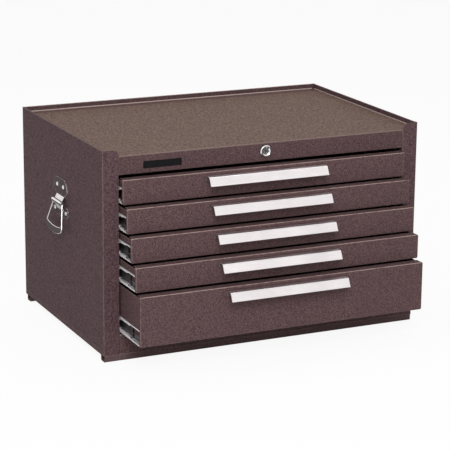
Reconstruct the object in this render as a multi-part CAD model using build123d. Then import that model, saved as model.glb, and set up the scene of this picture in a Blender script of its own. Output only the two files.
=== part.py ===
from build123d import *
import math
import os

# Top tool chest: a folded steel cabinet with four shallow drawers over a deep one.
# Millimetres. X runs to the right, Y to the back and Z up from the floor; the origin is the
# middle of the footprint on the floor. The drawers stand open in steps, as they are shown.

# Cabinet shell
BODY_W = 689.0
BODY_D = 457.0
SHEET = 1.0
BEND = 2.0
SEAM = 0.4
STILE_W = 34.0
STILE_RETURN = 15.0
REAR_FLANGE = 12.0
HEADER_H = 37.5
HEADER_FLANGE = 16.0
RAIL_H = 40.0
RAIL_FLANGE = 16.0
RIM_H = 13.0
RIM_CORNER_R = 13.0
HEM_H = 8.0
HEM_GAP = 1.0
HEM_START = 8.0
HEM_FLAT = 0.04
TRAY_LIP_H = 3.5
TRAY_APRON_H = 11.0
BASE_LIP_H = 9.0
BASE_LIP_START = 5.0
LAP_H = 20.0

# Skids under the cabinet
SKID_H = 13.0
SKID_D = 20.0
SKID_SHEET = 1.5
SKID_INSET = 2.0
REAR_SKID_SETBACK = 4.0

# Drawer stack, from the top drawer down
SMALL_FRONT_H = 49.5
DEEP_FRONT_H = 99.8
SMALL_DRAWERS = 4
DRAWER_GAP = 2.8
TOP_GAP = 6.1
BOTTOM_GAP = 3.4
FRONT_SIDE_GAP = 1.8
FIRST_OPENING = 15.0
OPENING_STEP = 21.25

# Drawer fronts and trays
DRAWER_SHEET = 1.0
FRONT_LAP = 5.0
FRONT_LEDGE_D = 19.0
FRONT_CORNER_R = 3.0
FRONT_EDGE_R = 2.0
TRAY_BEND = 1.5
TRAY_BACK_GAP = 34.0
LAP_GAP = 0.1

# Telescoping slides: drawer member outside, middle member, cabinet member inside
SLIDE_L = 400.0
SLIDE_H = 31.0
SLIDE_T = 12.7
SLIDE_SHEET = 1.5
SLIDE_GAP = 0.8
SLIDE_LIFT = 1.5
SLIDE_BEND = 1.3
SLIDE_TIP_GAP = 2.0
SLIDE_FRONT_GAP = 1.0
SLIDE_SLOT_START = 4.0
SLIDE_SLOT_L = 58.0
SLIDE_SLOT_H = 12.0
SLIDE_SLOT_R = 3.0
LEDGE_GAP = 1.5

# Posts that carry the slides
POST_W = 40.0
POST_SHEET = 1.5
POST_INSET = 22.0

# Pulls
PULL_L = 257.0
PULL_SHEET = 2.0
PULL_DROP = 7.0
PULL_TOP_D = 17.0
PULL_D = 26.0
PULL_BLADE_H = 14.7
PULL_LEG_H = 10.0
PULL_BEND = 4.0
PULL_BEAD_R = 1.5
SMALL_PULL_X = -7.5
DEEP_PULL_X = 0.0
PULL_SCREW_SPACING = 200.0

# Pan-head screws
SCREW_R = 1.75
SCREW_HEAD_R = 3.5
SCREW_HEAD_H = 2.0
SCREW_HEAD_ROUND = 1.2
SCREW_GRIP = 4.0
HOLE_GAP = 0.2

# Lock, its rod and the bar behind the drawers
LOCK_DROP = 17.0
BEZEL_R = 12.25
BEZEL_T = 4.5
BEZEL_BEVEL = 1.8
LOCK_BODY_R = 9.5
LOCK_BODY_L = 22.0
PLUG_R = 6.4
PLUG_GAP = 0.08
PLUG_RECESS = 1.2
KEYWAY_OUTER_R = 4.9
KEYWAY_INNER_R = 2.9
KEYWAY_DEPTH = 3.0
KEY_NOTCH_W = 1.6
LOCK_NUT_AF = 24.0
LOCK_NUT_T = 5.0
ROD_R = 3.0
CRANK_R = 10.0
CRANK_W = 9.0
CRANK_T = 3.0
CRANK_PIN_R = 2.0
CRANK_REST_DEG = 45.0
PIN_SLOT_GAP = 0.7
HANGER_W = 16.0
HANGER_T = 2.0
HANGER_SETBACK = 12.0
BAR_W = 20.0
BAR_T = 2.5
BAR_HEAD_MARGIN = 4.0
BAR_GAP = 0.4
BAR_FOOT = 12.0
GUIDE_WALL = 5.0
GUIDE_H = 14.0
GUIDE_LIP = 3.0
GUIDE_RISE = 6.0

# Catches on the drawers and the fingers that drop in front of them
CATCH_W = 24.0
CATCH_D = 12.0
CATCH_T = 1.5
CATCH_LIFT = 8.0
CATCH_LIP_H = 16.0
FINGER_W = 14.0
FINGER_T = 2.0
FINGER_GAP = 1.2
CATCH_TO_BAR = 4.5

# Blank plate on the header
PLATE_W = 80.0
PLATE_H = 14.0
PLATE_T = 0.7
PLATE_CORNER_R = 1.2
PLATE_INSET = 50.5
PLATE_DROP = 21.0

# Side handles
HANDLE_DROP = 151.0
HANDLE_SHEET = 1.6
BARREL_OUT = 7.5
BARREL_WALL = 1.7
BARREL_HALF_L = 20.5
BAIL_ROD_R = 3.0
BAIL_ROD_GAP = 0.3
PAD_RISE = 33.0
PAD_RIVET_SPACING = 34.0
PAD_ROUND_R = 15.5
PAD_EAR_SPACING = 68.0
PAD_EAR_RISE = 26.0
PAD_EAR_R = 4.0
PAD_FOOT_RISE = 13.0
FOOT_DROP = 18.0
FOOT_RIVET_SPACING = 62.0
FOOT_ROUND_R = 11.0
FOOT_NOTCH_R = 25.5
FOOT_NOTCH_DROP = 34.0
BAIL_SHEET = 3.0
BAIL_ARM_W = 6.0
BAIL_SIDE_GAP = 0.6
BAIL_HUB_R = 4.2
BAIL_FLARE = 19.5
BAIL_SHOULDER_DROP = 53.0
BAIL_SHOULDER_H = 9.0
BAIL_DROP = 63.0
BAIL_GRIP_H = 14.5
BAIL_CORNER_R = 6.0
BAIL_EDGE_R = 1.0
BAIL_LEAN_DEG = 10.0
RIVET_R = 2.25
RIVET_HEAD_R = 4.4
RIVET_HEAD_H = 2.4
RIVET_TAIL_R = 3.8
RIVET_TAIL_H = 1.2

# Places worked out from the sizes above
HALF_W = BODY_W / 2
FRONT = -BODY_D / 2
BACK = BODY_D / 2
OPEN_HALF = HALF_W - STILE_W
BASE = SKID_H
RAIL_TOP = BASE + RAIL_H
FRONT_HEIGHTS = [SMALL_FRONT_H] * SMALL_DRAWERS + [DEEP_FRONT_H]
PULL_PLACES = [SMALL_PULL_X] * SMALL_DRAWERS + [DEEP_PULL_X]
OPENINGS = [FIRST_OPENING + OPENING_STEP * step for step in range(len(FRONT_HEIGHTS))]
STACK_H = sum(FRONT_HEIGHTS) + DRAWER_GAP * (len(FRONT_HEIGHTS) - 1)
STACK_TOP = RAIL_TOP + BOTTOM_GAP + STACK_H
HEADER_BOTTOM = STACK_TOP + TOP_GAP
DECK = HEADER_BOTTOM + HEADER_H
DECK_UNDER = DECK - SHEET
RIM_TOP = DECK + RIM_H
HALF_SHEET = SHEET / 2
HEM_PITCH = SHEET + HEM_GAP
HEM_BEND = (HEM_PITCH - HEM_FLAT) / 2
HEM_T = SHEET + HEM_PITCH
HEADER_FACE = FRONT + SHEET
LIP_TOP = BASE + BASE_LIP_H
LAP_TOP = BASE + LAP_H
FRONT_HALF = OPEN_HALF - FRONT_SIDE_GAP
TRAY_UPPER_HALF = FRONT_HALF - DRAWER_SHEET - LAP_GAP
TRAY_LOWER_HALF = OPEN_HALF - SLIDE_T
TRAY_BACK = BACK - SHEET - TRAY_BACK_GAP
SLIDE_FRONT = FRONT + FRONT_LAP + SLIDE_FRONT_GAP
SLIDE_BACK = SLIDE_FRONT + SLIDE_L
SLIDE_STEP = SLIDE_SHEET + SLIDE_GAP
MIDDLE_H = SLIDE_H - 2 * SLIDE_STEP
CABINET_SLIDE_H = MIDDLE_H - 2 * SLIDE_STEP
MIDDLE_WEB_OUTER = SLIDE_T - SLIDE_STEP
CABINET_SLIDE_REACH = MIDDLE_WEB_OUTER - SLIDE_STEP
FRONT_POST_Y = SLIDE_FRONT + POST_INSET
REAR_POST_Y = SLIDE_BACK - POST_INSET - POST_W
LOCK_Z = DECK - LOCK_DROP
CATCH_END = TRAY_BACK + CATCH_D
BAR_FRONT = CATCH_END + CATCH_TO_BAR
CRANK_BACK = BAR_FRONT - BAR_GAP
ROD_BACK = CRANK_BACK - CRANK_T
PLATE_X = -OPEN_HALF + PLATE_INSET + PLATE_W / 2
BAR_TRAVEL = 2 * CRANK_R * math.sin(math.radians(CRANK_REST_DEG))
HANDLE_Z = RIM_TOP - HANDLE_DROP
BARREL_BORE_R = BAIL_ROD_R + BAIL_ROD_GAP
BARREL_R = BARREL_BORE_R + BARREL_WALL


def block(x0, x1, y0, y1, z0, z1):
    """A plain box between two corners."""
    centre = Pos((x0 + x1) / 2, (y0 + y1) / 2, (z0 + z1) / 2)
    return centre * Box(x1 - x0, y1 - y0, z1 - z0)


def folded_plan(points, thickness, bend, z0, z1):
    """A folded sheet whose middle line is drawn in plan and rises from z0 to z1."""
    line = FilletPolyline(*points, radius=bend)
    return extrude(Plane.XY.offset(z0) * trace(line, thickness), z1 - z0)


def folded_front(points, thickness, bend, y0, y1):
    """A folded sheet whose middle line is drawn in front view and runs back from y0 to y1."""
    line = FilletPolyline(*points, radius=bend)
    return extrude(Plane.XZ.offset(-y1) * trace(line, thickness), y1 - y0)


def folded_side(points, thickness, bend, x0, x1):
    """A folded sheet whose middle line is drawn in side view and runs across from x0 to x1."""
    line = FilletPolyline(*points, radius=bend)
    return extrude(Plane.YZ.offset(x0) * trace(line, thickness), x1 - x0)


def rod_x(radius, x0, x1, y, z):
    """A round bar along X."""
    return Pos((x0 + x1) / 2, y, z) * Rot(0, 90, 0) * Cylinder(radius, x1 - x0)


def rod_y(radius, y0, y1, x, z):
    """A round bar along Y."""
    return Pos(x, (y0 + y1) / 2, z) * Rot(90, 0, 0) * Cylinder(radius, y1 - y0)


def turned(points):
    """A solid turned about Z from its half outline of radius and height."""
    outline = make_face(Polyline(*points, close=True))
    return revolve(Plane.XZ * outline, Axis.Z)


def pan_screw(grip):
    """A pan-head screw with the underside of its head at the origin and its shank down -Z."""
    head = Pos(0, 0, SCREW_HEAD_H / 2) * Cylinder(SCREW_HEAD_R, SCREW_HEAD_H)
    head = fillet(head.edges().group_by(Axis.Z)[-1], SCREW_HEAD_ROUND)
    shank = Pos(0, 0, -grip / 2) * Cylinder(SCREW_R, grip)
    return head + shank


def right_of(shape):
    """The same shape on the other side of the chest."""
    return mirror(shape, about=Plane.YZ)


def save(node, *solids):
    """Write one node, as one solid or as a group of separate solids."""
    shape = solids[0] if len(solids) == 1 else Compound(children=list(solids))
    export_step(shape, f"parts/{node}.step")


# Handle fixing points, shared by the panels, the plates and the rivets
def handle_rivet_points():
    """The places of one handle's rivets on the side panel, as Y and Z."""
    points = []
    for side in (-1, 1):
        points.append((side * PAD_RIVET_SPACING / 2, HANDLE_Z + PAD_RISE))
        points.append((side * FOOT_RIVET_SPACING / 2, HANDLE_Z - FOOT_DROP))
    return points


# Cabinet shell
def left_side_panel():
    """Side wall, front stile, returns, hemmed rim and foot lap, folded from one sheet."""
    inner_x = -(OPEN_HALF + HALF_SHEET)
    wall_x = -(HALF_W - HALF_SHEET)
    face_y = FRONT + HALF_SHEET
    rear_y = BACK - SHEET - HALF_SHEET
    split = DECK_UNDER - SEAM
    lower = [
        (inner_x, FRONT + STILE_RETURN),
        (inner_x, face_y),
        (wall_x, face_y),
        (wall_x, rear_y),
        (-HALF_W + REAR_FLANGE, rear_y),
    ]
    panel = folded_plan(lower, SHEET, BEND, BASE + SHEET, split)
    panel -= block(
        -HALF_W - SHEET, -HALF_W + SHEET, FRONT + BASE_LIP_START - SEAM, BACK, BASE, LIP_TOP + SEAM
    )
    panel += block(
        -HALF_W + SHEET,
        -HALF_W + 2 * SHEET,
        FRONT + BASE_LIP_START,
        BACK - 2 * SHEET,
        BASE + SHEET,
        LAP_TOP,
    )
    stile_line = [(-OPEN_HALF, face_y), (wall_x, face_y), (wall_x, FRONT + HEM_START)]
    stile_top = folded_plan(stile_line, SHEET, BEND, split, RIM_TOP)
    top_edges = stile_top.edges().filter_by(Axis.Y).group_by(Axis.Z)[-1]
    stile_top = fillet(top_edges.sort_by(Axis.X)[-1], min(RIM_CORNER_R, RIM_H))
    hem_x = wall_x + HEM_PITCH
    hem_line = [
        (wall_x, split),
        (wall_x, RIM_TOP - HALF_SHEET),
        (hem_x, RIM_TOP - HALF_SHEET),
        (hem_x, RIM_TOP - HEM_H),
    ]
    hem_back = BACK - HEM_T - SEAM
    panel += stile_top
    panel += folded_front(hem_line, SHEET, HEM_BEND, FRONT + HEM_START, hem_back)
    panel += block(-HALF_W, -HALF_W + SHEET, hem_back, BACK - SHEET, split, RIM_TOP)
    for y, z in handle_rivet_points():
        panel -= rod_x(RIVET_R + HOLE_GAP, -HALF_W - SHEET, -HALF_W + 2 * SHEET, y, z)
    return panel


def back_panel():
    """Back wall with its hemmed rim and foot lap."""
    bottom = LIP_TOP + SEAM
    hem_bottom = RIM_TOP - HEM_H
    wall_y = BACK - HALF_SHEET
    hem_half = HALF_W - SHEET - SEAM
    hem_line = [
        (wall_y, hem_bottom),
        (wall_y, RIM_TOP - HALF_SHEET),
        (wall_y - HEM_PITCH, RIM_TOP - HALF_SHEET),
        (wall_y - HEM_PITCH, hem_bottom),
    ]
    panel = block(-HALF_W, HALF_W, BACK - SHEET, BACK, bottom, hem_bottom)
    panel += folded_side(hem_line, SHEET, HEM_BEND, -hem_half, hem_half)
    ear = block(-HALF_W, -hem_half, BACK - SHEET, BACK, hem_bottom, RIM_TOP)
    panel += ear
    panel += right_of(ear)
    lap_half = HALF_W - REAR_FLANGE - SHEET
    panel += block(-lap_half, lap_half, BACK - 2 * SHEET, BACK - SHEET, BASE + SHEET, LAP_TOP)
    return panel


def top_tray():
    """The tray floor with upturned lips on three sides and an apron behind the header."""
    side = HALF_W - SHEET
    floor = block(-side, side, FRONT + 2 * SHEET, BACK - SHEET, DECK_UNDER, DECK)
    floor = fillet(floor.edges().filter_by(Axis.Z), BEND + SHEET)
    lip_top = DECK + TRAY_LIP_H
    lip = block(-side, -side + SHEET, FRONT + HEM_START, BACK - 2 * BEND, DECK_UNDER, lip_top)
    back_half = side - 2 * BEND
    apron_half = OPEN_HALF - SEAM
    apron = block(
        -apron_half, apron_half, FRONT + 2 * SHEET, FRONT + 3 * SHEET, DECK_UNDER - TRAY_APRON_H, DECK
    )
    notch = LOCK_NUT_AF / math.sqrt(3) + 2 * SHEET
    apron -= block(-notch, notch, FRONT, FRONT + 4 * SHEET, DECK_UNDER - TRAY_APRON_H, DECK_UNDER)
    tray = floor + lip + right_of(lip) + apron
    tray += block(-back_half, back_half, BACK - 2 * SHEET, BACK - SHEET, DECK_UNDER, lip_top)
    return tray


def front_header():
    """The rail over the drawers, with a flange at its foot and the lock's hole."""
    half = OPEN_HALF - SEAM
    face_y = HEADER_FACE + HALF_SHEET
    line = [
        (face_y, DECK),
        (face_y, HEADER_BOTTOM + HALF_SHEET),
        (HEADER_FACE + HEADER_FLANGE, HEADER_BOTTOM + HALF_SHEET),
    ]
    header = folded_side(line, SHEET, BEND, -half, half)
    hole = rod_y(LOCK_BODY_R + HOLE_GAP, FRONT, FRONT + 4 * SHEET, 0, LOCK_Z)
    return header - hole


def bottom_pan():
    """The cabinet floor with a flush lip on three sides and the rail under the drawers."""
    half = OPEN_HALF - SEAM
    face_y = HEADER_FACE + HALF_SHEET
    line = [
        (face_y, BASE),
        (face_y, RAIL_TOP - HALF_SHEET),
        (HEADER_FACE + RAIL_FLANGE, RAIL_TOP - HALF_SHEET),
    ]
    lip = block(-HALF_W, -HALF_W + SHEET, FRONT + BASE_LIP_START, BACK, BASE, LIP_TOP)
    pan = block(-HALF_W, HALF_W, FRONT, BACK, BASE, BASE + SHEET)
    pan += folded_side(line, SHEET, BEND, -half, half)
    pan += lip
    pan += right_of(lip)
    pan += block(-HALF_W, HALF_W, BACK - SHEET, BACK, BASE, LIP_TOP)
    return pan


def skid(front_y):
    """A folded channel across the underside, open upwards against the cabinet floor."""
    half_t = SKID_SHEET / 2
    line = [
        (front_y + half_t, BASE),
        (front_y + half_t, half_t),
        (front_y + SKID_D - half_t, half_t),
        (front_y + SKID_D - half_t, BASE),
    ]
    half = HALF_W - SKID_INSET
    return folded_side(line, SKID_SHEET, BEND, -half, half)


def left_post(front_y):
    """An upright channel between the side wall and the slides, drilled for every slide."""
    web_x = -(OPEN_HALF + POST_SHEET / 2)
    wall_x = -(HALF_W - SHEET)
    near = front_y + POST_SHEET / 2
    far = front_y + POST_W - POST_SHEET / 2
    line = [(wall_x, near), (web_x, near), (web_x, far), (wall_x, far)]
    post = folded_plan(line, POST_SHEET, BEND, LAP_TOP + SEAM, DECK_UNDER)
    for front_bottom in front_bottoms():
        z = slide_centre(front_bottom)
        hole = rod_x(
            SCREW_R + HOLE_GAP, -OPEN_HALF - 2 * POST_SHEET, -OPEN_HALF + SHEET, front_y + POST_W / 2, z
        )
        post -= hole
    return post


# Drawers
def front_bottoms():
    """The lower edge of each drawer front, from the top drawer down."""
    bottoms = []
    edge = STACK_TOP
    for height in FRONT_HEIGHTS:
        bottoms.append(edge - height)
        edge -= height + DRAWER_GAP
    return bottoms


def slide_centre(front_bottom):
    """The middle height of a drawer's slides."""
    return front_bottom + SLIDE_LIFT + SLIDE_H / 2


def drawer_front(bottom, height, face_y, pull_x):
    """A pressed front with rounded edges and a deep top flange, hollow at the back, drilled for its pull."""
    top = bottom + height
    outer = block(-FRONT_HALF, FRONT_HALF, face_y, face_y + FRONT_LAP, bottom, top)
    outer = fillet(outer.edges().filter_by(Axis.Y), FRONT_CORNER_R)
    outer = fillet(outer.faces().sort_by(Axis.Y)[0].edges(), FRONT_EDGE_R)
    inner = block(
        -FRONT_HALF + DRAWER_SHEET,
        FRONT_HALF - DRAWER_SHEET,
        face_y + DRAWER_SHEET,
        face_y + FRONT_LAP + DRAWER_SHEET,
        bottom + DRAWER_SHEET,
        top - DRAWER_SHEET,
    )
    inner = fillet(inner.edges().filter_by(Axis.Y), FRONT_CORNER_R - DRAWER_SHEET)
    front = outer - inner
    ledge_half = FRONT_HALF - FRONT_CORNER_R
    front += block(
        -ledge_half, ledge_half, face_y + FRONT_EDGE_R, face_y + FRONT_LEDGE_D, top - DRAWER_SHEET, top
    )
    for x in pull_screw_places(pull_x):
        z = pull_screw_height(top)
        front -= rod_y(SCREW_R + HOLE_GAP, face_y - DRAWER_SHEET, face_y + 2 * DRAWER_SHEET, x, z)
    return front


def drawer_tray(bottom, height, face_y):
    """A tray whose sides step in over the slides, with a catch for the lock on its back."""
    half_t = DRAWER_SHEET / 2
    top = bottom + height - FRONT_CORNER_R - LAP_GAP
    floor_z = bottom + DRAWER_SHEET + half_t
    ledge_z = bottom + SLIDE_LIFT + SLIDE_H + LEDGE_GAP + half_t
    upper_x = TRAY_UPPER_HALF - half_t
    lower_x = TRAY_LOWER_HALF - half_t
    left = [(-upper_x, top), (-upper_x, ledge_z), (-lower_x, ledge_z), (-lower_x, floor_z)]
    line = left + [(-x, z) for x, z in reversed(left)]
    near = face_y + DRAWER_SHEET
    far = TRAY_BACK + face_y - FRONT
    tray = folded_front(line, DRAWER_SHEET, TRAY_BEND, near, far)
    round_clear = TRAY_BEND + half_t
    tray += block(-lower_x, lower_x, far - DRAWER_SHEET, far, floor_z, ledge_z)
    tray += block(-upper_x, upper_x, far - DRAWER_SHEET, far, ledge_z + round_clear, top)
    tray += block(
        -lower_x + round_clear, lower_x - round_clear, far - DRAWER_SHEET, far, floor_z, top
    )
    catch_z = bottom + CATCH_LIFT
    half_catch = CATCH_W / 2
    tray += block(-half_catch, half_catch, far - half_t, far + CATCH_D, catch_z, catch_z + CATCH_T)
    tray += block(
        -half_catch, half_catch, far + CATCH_D - CATCH_T, far + CATCH_D, catch_z, catch_z + CATCH_LIP_H
    )
    return tray


def pull_screw_places(pull_x):
    """The sideways places of the two screws that hold a pull."""
    return [pull_x - PULL_SCREW_SPACING / 2, pull_x + PULL_SCREW_SPACING / 2]


def pull_screw_height(top):
    """The height of a pull's screws, in the middle of its leg."""
    return top - PULL_DROP - PULL_LEG_H / 2 - PULL_SHEET / 2


def drawer_pull(bottom, height, face_y, pull_x):
    """An extruded angle: a leg on the front, a flat top and a blade that slants outwards."""
    half_t = PULL_SHEET / 2
    ridge = bottom + height - PULL_DROP - half_t
    leg_y = face_y - half_t
    line = [
        (leg_y, ridge + half_t - PULL_LEG_H),
        (leg_y, ridge),
        (face_y - PULL_TOP_D, ridge),
        (face_y - PULL_D + PULL_BEAD_R, ridge - PULL_BLADE_H),
    ]
    left = pull_x - PULL_L / 2
    right = pull_x + PULL_L / 2
    pull = folded_side(line, PULL_SHEET, PULL_BEND, left, right)
    bead_y, bead_z = line[-1]
    pull += rod_x(PULL_BEAD_R, left, right, bead_y, bead_z)
    for x in pull_screw_places(pull_x):
        z = pull_screw_height(bottom + height)
        pull -= rod_y(SCREW_R + HOLE_GAP, face_y - 2 * PULL_SHEET, face_y + PULL_SHEET, x, z)
    return pull


def pull_screws(bottom, height, face_y, pull_x):
    """Two screws from inside the drawer into the pull's leg."""
    z = pull_screw_height(bottom + height)
    seat = face_y + DRAWER_SHEET
    grip = DRAWER_SHEET + PULL_SHEET
    return [
        Pos(x, seat, z) * Rot(-90, 0, 0) * pan_screw(grip) for x in pull_screw_places(pull_x)
    ]


# Slides
def left_slide_member(height, web_face, reach, opens_inwards, centre_z, y0):
    """One channel of a left-hand slide; depths are measured from the posts into the chest."""
    half_t = SLIDE_SHEET / 2
    web = web_face + half_t if opens_inwards else web_face - half_t
    top = centre_z + height / 2 - half_t
    foot = centre_z - height / 2 + half_t
    line = [
        (-OPEN_HALF + reach, top),
        (-OPEN_HALF + web, top),
        (-OPEN_HALF + web, foot),
        (-OPEN_HALF + reach, foot),
    ]
    return folded_front(line, SLIDE_SHEET, SLIDE_BEND, y0, y0 + SLIDE_L)


def cabinet_slides(bottom):
    """The pair of members fixed to the posts."""
    z = slide_centre(bottom)
    member = left_slide_member(CABINET_SLIDE_H, 0, CABINET_SLIDE_REACH, True, z, SLIDE_FRONT)
    for y in slide_screw_places():
        member -= rod_x(SCREW_R + HOLE_GAP, -OPEN_HALF - SHEET, -OPEN_HALF + 2 * SLIDE_SHEET, y, z)
    return [member, right_of(member)]


def middle_slides(bottom, opening):
    """The pair of members that run half as far as the drawer."""
    z = slide_centre(bottom)
    y0 = SLIDE_FRONT - opening / 2
    member = left_slide_member(MIDDLE_H, MIDDLE_WEB_OUTER, SLIDE_TIP_GAP, False, z, y0)
    return [member, right_of(member)]


def drawer_slides(bottom, opening):
    """The pair of members fixed to the drawer's sides, slotted near the front."""
    z = slide_centre(bottom)
    y0 = SLIDE_FRONT - opening
    member = left_slide_member(SLIDE_H, SLIDE_T, SLIDE_TIP_GAP, False, z, y0)
    slot = block(
        -OPEN_HALF + SLIDE_T - 2 * SLIDE_SHEET,
        -OPEN_HALF + SLIDE_T + SLIDE_SHEET,
        y0 + SLIDE_SLOT_START,
        y0 + SLIDE_SLOT_START + SLIDE_SLOT_L,
        z - SLIDE_SLOT_H / 2,
        z + SLIDE_SLOT_H / 2,
    )
    member -= fillet(slot.edges().filter_by(Axis.X), SLIDE_SLOT_R)
    return [member, right_of(member)]


def slide_screw_places():
    """The front-to-back places of the screws that hold a cabinet member to its posts."""
    return [FRONT_POST_Y + POST_W / 2, REAR_POST_Y + POST_W / 2]


def slide_screws():
    """Screws through every cabinet member into its two posts, on both sides."""
    screws = []
    for bottom in front_bottoms():
        for y in slide_screw_places():
            place = Pos(-OPEN_HALF + SLIDE_SHEET, y, slide_centre(bottom))
            screw = place * Rot(0, 90, 0) * pan_screw(SCREW_GRIP)
            screws += [screw, right_of(screw)]
    return screws


# Lock
def lock_body():
    """The bright bezel and the barrel behind it."""
    seat = HEADER_FACE
    rim = BEZEL_R - BEZEL_BEVEL
    bore = PLUG_R + PLUG_GAP
    outline = [
        (bore, -LOCK_BODY_L),
        (LOCK_BODY_R, -LOCK_BODY_L),
        (LOCK_BODY_R, 0),
        (BEZEL_R, 0),
        (BEZEL_R, BEZEL_T - BEZEL_BEVEL),
        (rim, BEZEL_T),
        (rim - BEZEL_BEVEL, BEZEL_T),
        (bore, BEZEL_T - BEZEL_BEVEL),
    ]
    return Pos(0, seat, LOCK_Z) * Rot(90, 0, 0) * turned(outline)


def lock_nut():
    """The hexagon nut that clamps the lock to the header."""
    nut = extrude(RegularPolygon(LOCK_NUT_AF / 2, 6, major_radius=False), LOCK_NUT_T)
    nut -= Pos(0, 0, LOCK_NUT_T / 2) * Cylinder(LOCK_BODY_R + HOLE_GAP, 2 * LOCK_NUT_T)
    return Pos(0, HEADER_FACE + SHEET, LOCK_Z) * Rot(-90, 0, 0) * nut


def lock_plug():
    """The turning plug with a ring-shaped keyway round its centre pin."""
    length = LOCK_BODY_L + BEZEL_T - BEZEL_BEVEL - PLUG_RECESS
    top = BEZEL_T - BEZEL_BEVEL - PLUG_RECESS
    plug = Pos(0, 0, top - length / 2) * Cylinder(PLUG_R, length)
    ring = Cylinder(KEYWAY_OUTER_R, 2 * KEYWAY_DEPTH) - Cylinder(KEYWAY_INNER_R, 2 * KEYWAY_DEPTH)
    plug -= Pos(0, 0, top) * ring
    notch = KEY_NOTCH_W / 2
    plug -= block(-notch, notch, KEYWAY_INNER_R + notch, PLUG_R, top - KEYWAY_DEPTH, top + KEYWAY_DEPTH)
    return Pos(0, HEADER_FACE, LOCK_Z) * Rot(90, 0, 0) * plug


def crank_pin_place():
    """The crank pin's place at rest, as X and Z."""
    angle = math.radians(CRANK_REST_DEG)
    return CRANK_R * math.cos(angle), LOCK_Z + CRANK_R * math.sin(angle)


def lock_rod():
    """The rod from the plug to the back, with a crank and pin on its end."""
    x, z = crank_pin_place()
    rod = rod_y(ROD_R, HEADER_FACE + LOCK_BODY_L, ROD_BACK, 0, LOCK_Z)
    arm = SlotCenterToCenter(CRANK_R, CRANK_W)
    arm = Pos(CRANK_R / 2, 0) * arm
    arm = extrude(Rot(0, 0, CRANK_REST_DEG) * arm, CRANK_T)
    rod += Pos(0, CRANK_BACK, LOCK_Z) * Rot(90, 0, 0) * arm
    rod += rod_y(CRANK_PIN_R, ROD_BACK, BAR_FRONT + BAR_T + BAR_GAP, x, z)
    return rod


def lock_rod_hanger():
    """A tab under the tray that steadies the back of the rod."""
    half = HANGER_W / 2
    back = ROD_BACK - HANGER_SETBACK
    hanger = block(-half, half, back - HANGER_T, back, LOCK_Z - half, DECK_UNDER)
    return hanger - rod_y(ROD_R + PLUG_GAP, back - 2 * HANGER_T, back + HANGER_T, 0, LOCK_Z)


def finger_spans():
    """Each drawer's finger on the lock bar, as the heights of its tip and its top, unlocked."""
    spans = []
    for bottom in front_bottoms():
        lip_top = bottom + CATCH_LIFT + CATCH_LIP_H
        tip = lip_top + FINGER_GAP
        spans.append((tip, tip + BAR_TRAVEL + FINGER_T))
    return spans


def lock_bar():
    """The upright bar with a slotted head for the crank pin and a finger over each catch."""
    pin_x, pin_z = crank_pin_place()
    half = BAR_W / 2
    back = BAR_FRONT + BAR_T
    spans = finger_spans()
    foot = spans[-1][0] - BAR_FOOT
    slot_half_h = CRANK_PIN_R + PIN_SLOT_GAP
    head_top = pin_z + slot_half_h + BAR_HEAD_MARGIN
    head_right = CRANK_R + slot_half_h + BAR_HEAD_MARGIN
    slot_left = pin_x - slot_half_h
    slot_right = CRANK_R + slot_half_h
    bar = block(-half, half, BAR_FRONT, back, foot, head_top)
    bar += block(
        -half, head_right, BAR_FRONT, back, pin_z - slot_half_h - BAR_HEAD_MARGIN, head_top
    )
    bar -= block(
        slot_left, slot_right, BAR_FRONT - BAR_T, back + BAR_T, pin_z - slot_half_h, pin_z + slot_half_h
    )
    leg_back = CATCH_END - CATCH_T - FINGER_GAP
    leg_front = leg_back - FINGER_T
    half_finger = FINGER_W / 2
    for tip, top in spans:
        bar += block(-half_finger, half_finger, leg_front, BAR_FRONT + BAR_T / 2, top - FINGER_T, top)
        bar += block(-half_finger, half_finger, leg_front, leg_back, tip, top)
    return bar


def lock_bar_guides():
    """Two slotted blocks on the back panel that the bar slides in."""
    spans = finger_spans()
    half = BAR_W / 2 + BAR_GAP + GUIDE_WALL
    slot = BAR_W / 2 + BAR_GAP
    guides = []
    for top in (spans[0][1], spans[-1][1]):
        z0 = top + GUIDE_RISE
        guide = block(
            -half, half, BAR_FRONT - BAR_GAP - GUIDE_LIP, BACK - SHEET, z0, z0 + GUIDE_H
        )
        guide -= block(
            -slot, slot, BAR_FRONT - BAR_GAP, BAR_FRONT + BAR_T + BAR_GAP, z0 - GUIDE_H, z0 + 2 * GUIDE_H
        )
        guides.append(guide)
    return guides


def blank_plate():
    """The bare plate on the header."""
    centre = Pos(PLATE_X, HEADER_FACE, DECK - PLATE_DROP)
    outline = RectangleRounded(PLATE_W, PLATE_H, PLATE_CORNER_R)
    return centre * Rot(90, 0, 0) * extrude(outline, PLATE_T)


# Side handles
def on_side(outline, thickness):
    """A flat outline of Y and Z, laid on the left side panel and thickened outwards."""
    side = Plane(origin=(-HALF_W, 0, 0), x_dir=(0, -1, 0), z_dir=(-1, 0, 0))
    return extrude(side * outline, thickness)


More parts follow.
